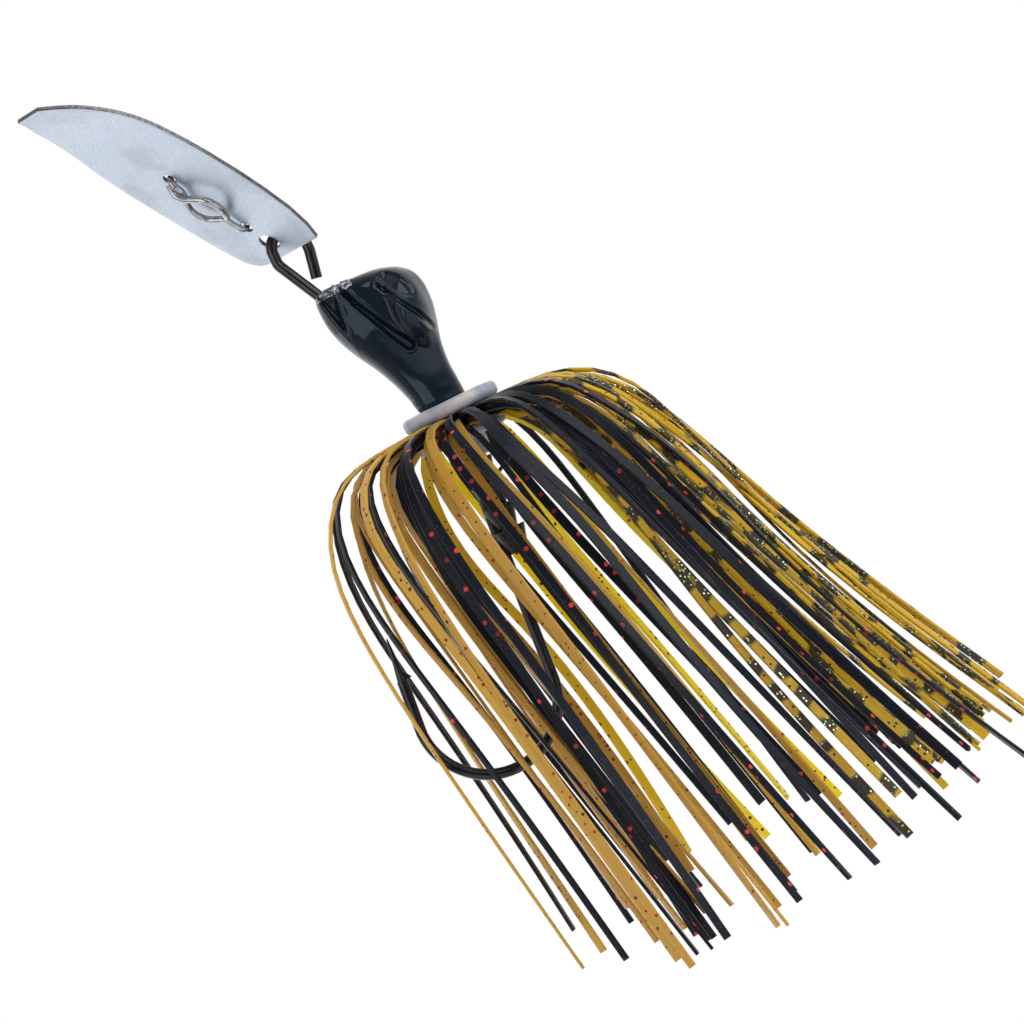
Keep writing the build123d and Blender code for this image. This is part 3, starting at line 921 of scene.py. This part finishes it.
# Across, forward and out of the blade's face (mm), from the middle of the snap holes
SNAP_LONG_RUN = (
    (0.0, -5.3, -0.7), (0.0, -5.3, 0.2), (0.0, -4.9, 0.8), (0.1, -3.6, 0.9), (0.2, -2.4, 0.9),
    (-0.7, -1.9, 1.0), (-1.6, -1.1, 1.15), (-1.8, 0.4, 1.25), (-1.2, 1.8, 1.15), (-0.2, 2.7, 1.0),
    (0.3, 3.7, 0.85), (0.25, 4.7, 0.8), (0.1, 5.3, 0.2), (0.1, 5.3, -0.6), (0.1, 5.0, -1.05),
    (0.0, 3.0, -1.15), (0.0, -3.0, -1.15), (0.0, -5.0, -1.05), (0.0, -5.3, -0.6),
)
SNAP_SHORT_RUN = (
    (0.9, -2.3, 1.0), (1.9, -1.6, 1.25), (2.8, -0.1, 1.5), (2.6, 1.5, 1.55), (1.3, 2.5, 1.65),
    (0.3, 3.0, 1.7), (-0.35, 3.7, 1.45), (-0.45, 4.4, 1.0), (-0.35, 5.0, 0.75),
)


def make_snap():
    """The snap: one wire bent into an eye whose two sides cross before the front hole."""
    curve = bpy.data.curves.new("snap", "CURVE")
    curve.dimensions = "3D"
    curve.bevel_depth = SNAP_WIRE / 2 * MM
    curve.bevel_resolution = 5
    curve.use_fill_caps = True
    for run in (SNAP_LONG_RUN, SNAP_SHORT_RUN):
        add_run(curve, [blade_point(*place) for place in run], 3, 8)
    data = curve_data(curve)
    data.name = "snap_wire"
    finished("snap_wire", data, "line_tie", ["line_tie_snap"], [bright_wire()], 60)


make_snap()


# ---- CAD nodes that stay, in their finishes ---------------------------------------------------
def finish_node(node, material):
    """Gives a CAD node that stays shown its material."""
    shown = frame["nodes"][node]
    shown.data.materials.clear()
    shown.data.materials.append(material)


finish_node("hook", black_nickel())
finish_node("clamp_band", band_rubber())
finish_node("trailer_keeper", keeper_plastic())


# ---- Backdrop, light and camera ---------------------------------------------------------------
CAMERA_DISTANCE = 0.70
VIEW_WIDTH = 0.1145  # seen at the hook's plane
CAMERA_ROLL = radians(40.0)
AIM = Vector((-0.0006, 0.0085, -0.0481))  # near the middle of the lure
AIM_SHIFT = (0.00014, 0.0006)  # to the camera's right and up
FLOOR_DROP = 0.25  # below the longest strand
FLOOR_RADIUS = 0.9
camera_right = right_dir * cos(CAMERA_ROLL) - up_dir * sin(CAMERA_ROLL)
camera_up = right_dir * sin(CAMERA_ROLL) + up_dir * cos(CAMERA_ROLL)
camera_back = camera_right.cross(camera_up)
aim_point = AIM + camera_up * AIM_SHIFT[1] + camera_right * AIM_SHIFT[0]


def make_camera():
    """A long lens that looks along the hook's swing axis, rolled so that the nose is top left."""
    data = bpy.data.cameras.new("camera")
    data.sensor_width = 36
    data.lens = data.sensor_width * CAMERA_DISTANCE / VIEW_WIDTH
    data.clip_start = 0.01
    data.clip_end = 20
    camera = bpy.data.objects.new("camera", data)
    bpy.context.scene.collection.objects.link(camera)
    turn = Matrix((camera_right, camera_up, camera_back)).transposed()
    place = aim_point + camera_back * CAMERA_DISTANCE
    camera.matrix_world = Matrix.Translation(place) @ turn.to_4x4()
    bpy.context.scene.camera = camera


def make_light(name, direction, distance, size, power, aim):
    """A square softbox on that side of the point it is aimed at."""
    data = bpy.data.lights.new(name, "AREA")
    data.size = size
    data.energy = power
    light = bpy.data.objects.new(name, data)
    light.location = aim + direction.normalized() * distance
    light.rotation_mode = "QUATERNION"
    light.rotation_quaternion = (-direction).to_track_quat("-Z", "Y")
    bpy.context.scene.collection.objects.link(light)


def make_lights():
    """A key softbox above, a fill in front, and a card that the blade's face reflects."""
    above = camera_back * 0.6 + camera_up * 0.8 + camera_right * 0.3
    make_light("key", above, distance=0.7, size=0.7, power=3.6, aim=aim_point)
    in_front = camera_back - camera_right * 0.9 - camera_up * 0.4
    make_light("fill", in_front, distance=0.7, size=0.6, power=1.6, aim=aim_point)
    mirrored = camera_back.reflect(blade_face) * -1
    make_light("blade_card", mirrored, distance=0.35, size=0.3, power=0.15, aim=blade_middle)


def make_floor():
    """A plain pale floor, well below the lure."""
    bpy.ops.object.select_all(action="DESELECT")
    height = cad_box[0].z - FLOOR_DROP
    bpy.ops.mesh.primitive_circle_add(
        vertices=96,
        radius=FLOOR_RADIUS,
        fill_type="NGON",
        location=(0, 0, height),
    )
    floor = bpy.context.object
    floor.name = "floor"
    pale = Shader("pale_floor", Roughness=0.8)
    pale.surface.inputs["Base Color"].default_value = (0.9, 0.9, 0.9, 1)
    floor.data.materials.append(pale.material)


def make_world():
    """A white backdrop. It lights the lure from behind, and the studio in front of it is dim."""
    world = bpy.data.worlds.new("studio")
    bpy.context.scene.world = world
    world.use_nodes = True
    tree = world.node_tree
    background = tree.nodes["Background"]
    place = tree.nodes.new("ShaderNodeTexCoord")
    facing = tree.nodes.new("ShaderNodeVectorMath")
    facing.operation = "DOT_PRODUCT"
    facing.inputs[1].default_value = -camera_back
    tree.links.new(place.outputs["Generated"], facing.inputs[0])
    room = tree.nodes.new("ShaderNodeMapRange")
    room.inputs["From Min"].default_value = -0.7
    room.inputs["From Max"].default_value = 0.9
    room.inputs["To Min"].default_value = 0.2
    room.inputs["To Max"].default_value = 1.0
    tree.links.new(facing.outputs["Value"], room.inputs["Value"])
    path = tree.nodes.new("ShaderNodeLightPath")
    strength = tree.nodes.new("ShaderNodeMix")
    strength.inputs["B"].default_value = 1.0
    tree.links.new(path.outputs["Is Camera Ray"], strength.inputs["Factor"])
    tree.links.new(room.outputs["Result"], strength.inputs["A"])
    tree.links.new(strength.outputs["Result"], background.inputs["Strength"])
    background.inputs["Color"].default_value = (1, 1, 1, 1)


make_camera()
make_lights()
make_floor()
make_world()
bpy.context.scene.view_settings.view_transform = "Standard"
